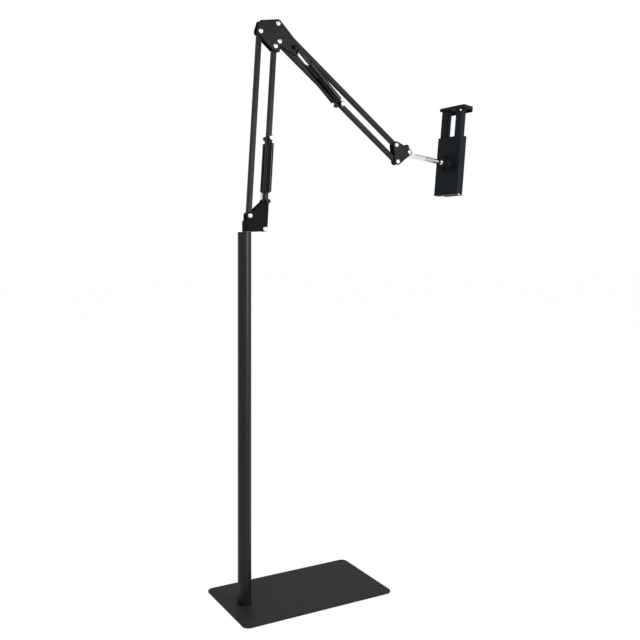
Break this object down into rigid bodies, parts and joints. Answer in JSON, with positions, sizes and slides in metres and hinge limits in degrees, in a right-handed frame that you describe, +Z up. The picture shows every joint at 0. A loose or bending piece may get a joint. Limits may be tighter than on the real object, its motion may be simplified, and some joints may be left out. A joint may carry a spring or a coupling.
{
  "type": "adjustable tablet floor stand",
  "caption": "Floor stand with a round pole on a flat steel base, a folding spring-balanced parallelogram arm, and a sprung two-jaw clamp on a ball joint.",
  "frame": {"origin": "on the floor at the pole's axis, on the anti-slip pad's underside", "axes": "+Z up along the pole, +X along the base plate's long side and the arm's reach, +Y to the arm's far side"},
  "size_m": [0.5502, 0.18, 1.0773],
  "materials": {
    "textured_black": "fine textured matt powder coat",
    "satin_black": "satin powder coat",
    "black_plastic": "moulded matt plastic",
    "holder_plastic": "moulded matt ABS",
    "sleeve_plastic": "semi-gloss tube",
    "spring_black": "black coated spring wire",
    "black_oxide": "black oxide steel",
    "zinc": "zinc plated",
    "chrome": "polished chrome plate",
    "nylon": "black nylon",
    "rubber": "soft matt rubber"
  },
  "bodies": {
    "stand": {"base_plate": "textured_black", "anti_slip_pad": "rubber", "base_screw": "zinc", "pole_foot": "satin_black", "pole_tube": "satin_black", "pole_bush": "black_plastic"},
    "swivel": {"swivel_pin": "zinc", "swivel_block": "satin_black", "base_bracket_near": "satin_black", "base_bracket_far": "satin_black", "base_pivot_bolts": "chrome", "base_pivot_nuts": "black_oxide", "base_washers": "nylon", "base_anchor_studs": "black_oxide", "base_anchor_nuts": "black_oxide"},
    "lower_rear_link": {"lower_rear_tube": "satin_black"},
    "lower_front_link": {"lower_front_tube": "satin_black", "lower_spring_bolt": "chrome", "lower_spring_nut": "black_oxide"},
    "lower_sleeves": {"lower_sleeve_near": "sleeve_plastic", "lower_sleeve_far": "sleeve_plastic"},
    "lower_springs": {"lower_spring_near": "spring_black", "lower_spring_far": "spring_black"},
    "elbow": {"elbow_plate_near": "satin_black", "elbow_plate_far": "satin_black", "elbow_pivot_bolts": "chrome", "elbow_pivot_nuts": "black_oxide", "elbow_washers": "nylon", "elbow_anchor_studs": "black_oxide", "elbow_anchor_nuts": "black_oxide", "elbow_plate_screw": "black_oxide"},
    "upper_top_link": {"upper_top_tube": "satin_black"},
    "upper_under_link": {"upper_under_tube": "satin_black", "upper_spring_bolt": "chrome", "upper_spring_nut": "black_oxide"},
    "upper_sleeves": {"upper_sleeve_near": "sleeve_plastic", "upper_sleeve_far": "sleeve_plastic"},
    "upper_springs": {"upper_spring_near": "spring_black", "upper_spring_far": "spring_black"},
    "head": {"head_plate_near": "satin_black", "head_plate_far": "satin_black", "head_pivot_bolts": "chrome", "head_pivot_nuts": "black_oxide", "head_washers": "nylon", "tilt_bolt": "chrome"},
    "knob": {"tilt_knob": "black_plastic"},
    "stem": {"tilt_knuckle": "chrome"},
    "stud": {"ball_stud": "chrome"},
    "ring": {"lock_ring": "black_plastic"},
    "holder": {"holder_shell": "holder_plastic", "holder_cover": "holder_plastic", "shell_screws": "black_oxide", "lower_jaw": "holder_plastic", "lower_pad": "rubber", "sole_screws": "chrome"},
    "jaw": {"slider_frame": "holder_plastic", "upper_jaw": "holder_plastic", "upper_pad": "rubber", "jaw_screws": "chrome", "jaw_springs": "zinc"}
  },
  "joints": [
    {"name": "arm_swivel", "type": "hinge", "parent": "stand", "child": "swivel", "pos_m": [0, 0, 0.682], "axis": [0, 0, 1], "continuous": true},
    {"name": "lower_fold", "type": "hinge", "parent": "swivel", "child": "lower_rear_link", "pos_m": [0.008, 0, 0.712], "axis": [0, 1, 0], "range_deg": [-28.6, 56.4]},
    {"name": "lower_front_fold", "type": "hinge", "parent": "swivel", "child": "lower_front_link", "pos_m": [0.0382, 0, 0.6875], "axis": [0, 1, 0], "range_deg": [-29.6, 57.4]},
    {"name": "elbow_level", "type": "hinge", "parent": "lower_rear_link", "child": "elbow", "pos_m": [0.02935, 0, 1.05133], "axis": [0, 1, 0], "range_deg": [-57.4, 29.6]},
    {"name": "lower_sleeve_swing", "type": "hinge", "parent": "lower_front_link", "child": "lower_sleeves", "pos_m": [0.04879, 0, 0.85577], "axis": [0, 1, 0], "range_deg": [-10.58, 19.89]},
    {"name": "lower_spring_swing", "type": "hinge", "parent": "swivel", "child": "lower_springs", "pos_m": [0.0415, 0, 0.7386], "axis": [0, 1, 0], "range_deg": [-39.18, 76.29], "deforming": ["lower_spring_near", "lower_spring_far"]},
    {"name": "upper_fold", "type": "hinge", "parent": "elbow", "child": "upper_top_link", "pos_m": [0.065, 0, 1.06933], "axis": [0, 1, 0], "range_deg": [-98.6, 21.4]},
    {"name": "upper_under_fold", "type": "hinge", "parent": "elbow", "child": "upper_under_link", "pos_m": [0.068, 0, 1.03633], "axis": [0, 1, 0], "range_deg": [-99.6, 22.4]},
    {"name": "head_level", "type": "hinge", "parent": "upper_top_link", "child": "head", "pos_m": [0.33072, 0, 0.85721], "axis": [0, 1, 0], "range_deg": [-22.4, 99.6]},
    {"name": "upper_sleeve_swing", "type": "hinge", "parent": "upper_under_link", "child": "upper_sleeves", "pos_m": [0.20164, 0, 0.92965], "axis": [0, 1, 0], "range_deg": [-17.56, 4.6]},
    {"name": "upper_spring_swing", "type": "hinge", "parent": "elbow", "child": "upper_springs", "pos_m": [0.1, 0, 1.02903], "axis": [0, 1, 0], "range_deg": [-116.16, 26], "deforming": ["upper_spring_near", "upper_spring_far"]},
    {"name": "head_tilt", "type": "hinge", "parent": "head", "child": "stem", "pos_m": [0.36212, 0, 0.84441], "axis": [0, -1, 0], "range_deg": [-60, 45]},
    {"name": "knob_turn", "type": "hinge", "parent": "head", "child": "knob", "pos_m": [0.36212, 0, 0.84441], "axis": [0, 1, 0], "continuous": true},
    {"name": "stem_roll", "type": "hinge", "parent": "stem", "child": "stud", "pos_m": [0.4051, 0, 0.83327], "axis": [0.9907, 0, -0.1357], "continuous": true},
    {"name": "ball_tilt", "type": "hinge", "parent": "stud", "child": "ring", "pos_m": [0.44998, 0, 0.82712], "axis": [0, -1, 0], "range_deg": [-30, 30]},
    {"name": "holder_spin", "type": "hinge", "parent": "ring", "child": "holder", "pos_m": [0.44998, 0, 0.82712], "axis": [0.986, 0.1036, -0.1305], "continuous": true},
    {"name": "jaw_slide", "type": "slide", "parent": "holder", "child": "jaw", "axis": [0.1268, 0.0414, 0.9911], "range_m": [-0.05, 0.025], "deforming": ["jaw_springs"]}
  ],
  "couplings": [
    {"joint": "lower_front_fold", "follows": "lower_fold", "ratio": 1},
    {"joint": "elbow_level", "follows": "lower_fold", "ratio": -1},
    {"joint": "lower_sleeve_swing", "follows": "lower_fold", "ratio": 0.335},
    {"joint": "lower_spring_swing", "follows": "lower_fold", "ratio": 1.335},
    {"joint": "upper_under_fold", "follows": "upper_fold", "ratio": 1},
    {"joint": "head_level", "follows": "upper_fold", "ratio": -1},
    {"joint": "upper_sleeve_swing", "follows": "upper_fold", "ratio": 0.168},
    {"joint": "upper_spring_swing", "follows": "upper_fold", "ratio": 1.168}
  ]
}
